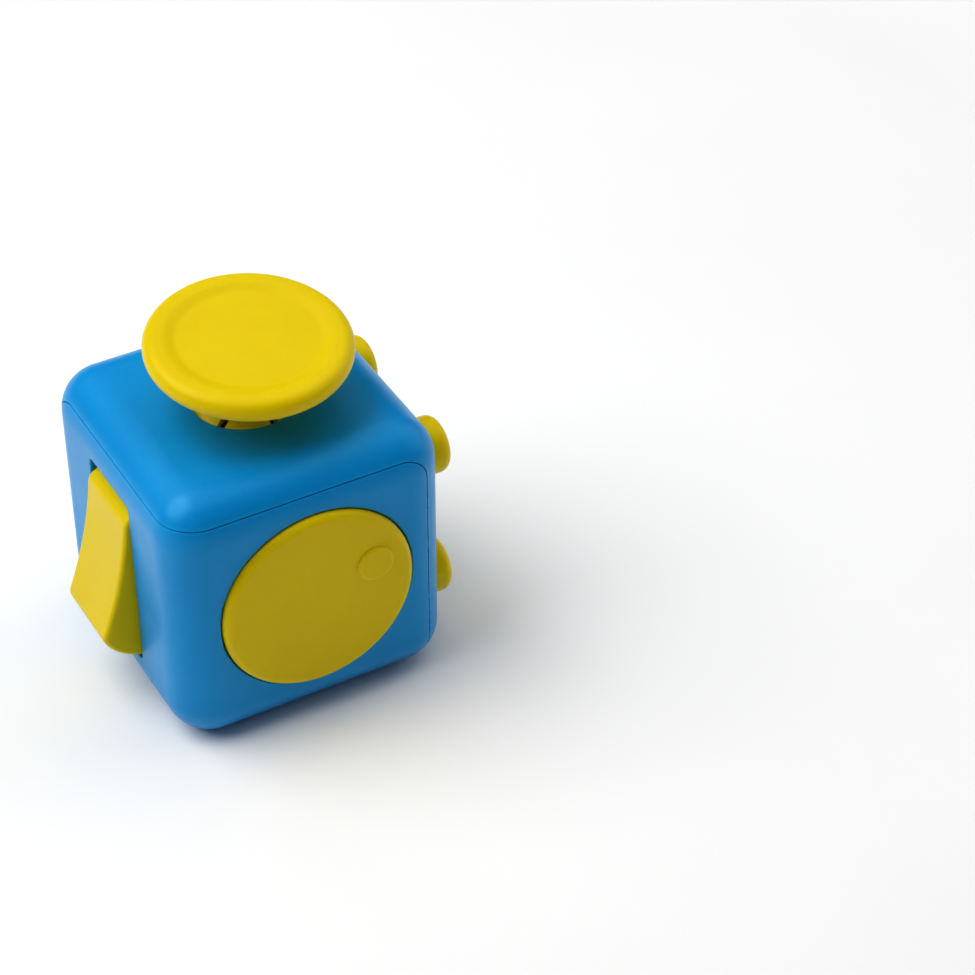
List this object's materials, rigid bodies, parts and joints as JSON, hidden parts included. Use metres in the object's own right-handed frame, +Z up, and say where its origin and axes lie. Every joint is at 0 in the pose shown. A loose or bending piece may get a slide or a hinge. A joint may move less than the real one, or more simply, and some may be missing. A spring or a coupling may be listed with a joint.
{
  "type": "fidget cube",
  "caption": "Palm-sized rounded plastic cube with a tilting thumb disc, spinning dial, rocker switch, push buttons, star wheels with a steel ball, and a thumb dish.",
  "frame": {"origin": "centre of the cube's lower face (the breathe face), in the plane of the flat ring it rests on", "axes": "+Z up through the glide disc, +X out of the button face, +Y out of the wheel-and-ball face, -Y out of the dial, -X out of the rocker, -Z out of the thumb dish"},
  "size_m": [0.0401, 0.0367, 0.0429],
  "materials": {
    "case_blue": "satin moulded ABS",
    "accent_yellow": "satin moulded ABS",
    "inner_plastic": "natural nylon",
    "spring_steel": "bright spring steel",
    "steel": "zinc-plated steel",
    "ball_chrome": "polished bearing steel"
  },
  "bodies": {
    "case": {"upper_shell": "case_blue", "lower_shell": "case_blue", "glide_base": "inner_plastic", "glide_spring": "spring_steel", "glide_base_screws": "steel", "rocker_bracket": "inner_plastic", "rocker_leaf_spring": "spring_steel", "rocker_screws": "steel", "button_plate": "inner_plastic", "button_plate_screws": "steel", "wheel_axle": "steel", "wheel_bracket": "inner_plastic", "wheel_click_leaf": "spring_steel", "wheel_bracket_screws": "steel", "ball_retainer": "inner_plastic", "ball_retainer_screws": "steel", "ball_spring": "spring_steel", "button_spring_1": "spring_steel", "button_spring_2": "spring_steel", "button_spring_3": "spring_steel", "button_spring_4": "spring_steel", "button_spring_5": "spring_steel"},
    "gimbal": {"gimbal_ring": "inner_plastic"},
    "glide": {"glide_disc": "accent_yellow", "glide_dome": "accent_yellow", "gimbal_pin": "steel"},
    "dial": {"spin_dial": "accent_yellow", "dial_washer": "steel", "dial_screw": "steel"},
    "rocker": {"flip_rocker": "accent_yellow", "rocker_pin": "steel"},
    "ball_carrier": {"ball_cup": "inner_plastic"},
    "ball": {"roll_ball": "ball_chrome"},
    "button_1": {"click_button_1": "accent_yellow"},
    "button_2": {"click_button_2": "accent_yellow"},
    "button_3": {"click_button_3": "accent_yellow"},
    "button_4": {"click_button_4": "accent_yellow"},
    "button_5": {"click_button_5": "accent_yellow"},
    "wheel_1": {"roll_wheel_1": "accent_yellow"},
    "wheel_2": {"roll_wheel_2": "accent_yellow"},
    "wheel_3": {"roll_wheel_3": "accent_yellow"}
  },
  "joints": [
    {"name": "glide_tilt_x", "type": "hinge", "parent": "case", "child": "gimbal", "pos_m": [0, 0, 0.0245], "axis": [1, 0, 0], "range_deg": [-19.6, 8.4], "stiffness_Nm_per_rad": 0.01, "deforming": ["glide_spring"]},
    {"name": "glide_tilt_y", "type": "hinge", "parent": "gimbal", "child": "glide", "pos_m": [0, 0, 0.0245], "axis": [0, 0.9952, 0.0976], "range_deg": [-14.8, 13.2], "stiffness_Nm_per_rad": 0.01, "deforming": ["glide_spring"]},
    {"name": "dial_spin", "type": "hinge", "parent": "case", "child": "dial", "pos_m": [0, -0.0173, 0.0165], "axis": [0, -1, 0], "continuous": true},
    {"name": "rocker_flip", "type": "hinge", "parent": "case", "child": "rocker", "pos_m": [-0.0145, 0, 0.0165], "axis": [0, -1, 0], "range_deg": [0, 28], "deforming": ["rocker_leaf_spring"]},
    {"name": "button_1_press", "type": "slide", "parent": "case", "child": "button_1", "axis": [-1, 0, 0], "range_m": [0, 0.0011], "stiffness_N_per_m": 600, "deforming": ["button_spring_1"]},
    {"name": "button_2_press", "type": "slide", "parent": "case", "child": "button_2", "axis": [-1, 0, 0], "range_m": [0, 0.0011], "stiffness_N_per_m": 600, "deforming": ["button_spring_2"]},
    {"name": "button_3_press", "type": "slide", "parent": "case", "child": "button_3", "axis": [-1, 0, 0], "range_m": [0, 0.0011], "stiffness_N_per_m": 600, "deforming": ["button_spring_3"]},
    {"name": "button_4_press", "type": "slide", "parent": "case", "child": "button_4", "axis": [-1, 0, 0], "range_m": [0, 0.0011], "stiffness_N_per_m": 600, "deforming": ["button_spring_4"]},
    {"name": "button_5_press", "type": "slide", "parent": "case", "child": "button_5", "axis": [-1, 0, 0], "range_m": [0, 0.0011], "stiffness_N_per_m": 600, "deforming": ["button_spring_5"]},
    {"name": "wheel_1_roll", "type": "hinge", "parent": "case", "child": "wheel_1", "pos_m": [-0.006, 0.01305, 0.0242], "axis": [0, 0, 1], "continuous": true, "deforming": ["wheel_click_leaf"]},
    {"name": "wheel_2_roll", "type": "hinge", "parent": "case", "child": "wheel_2", "pos_m": [-0.006, 0.01305, 0.0165], "axis": [0, 0, 1], "continuous": true, "deforming": ["wheel_click_leaf"]},
    {"name": "wheel_3_roll", "type": "hinge", "parent": "case", "child": "wheel_3", "pos_m": [-0.006, 0.01305, 0.0088], "axis": [0, 0, 1], "continuous": true, "deforming": ["wheel_click_leaf"]},
    {"name": "ball_press", "type": "slide", "parent": "case", "child": "ball_carrier", "axis": [0, -1, 0], "range_m": [0, 0.001], "stiffness_N_per_m": 600, "deforming": ["ball_spring"]},
    {"name": "ball_roll", "type": "hinge", "parent": "ball_carrier", "child": "ball", "pos_m": [0.0056, 0.0147, 0.0165], "axis": [0, 0, 1], "continuous": true}
  ]
}
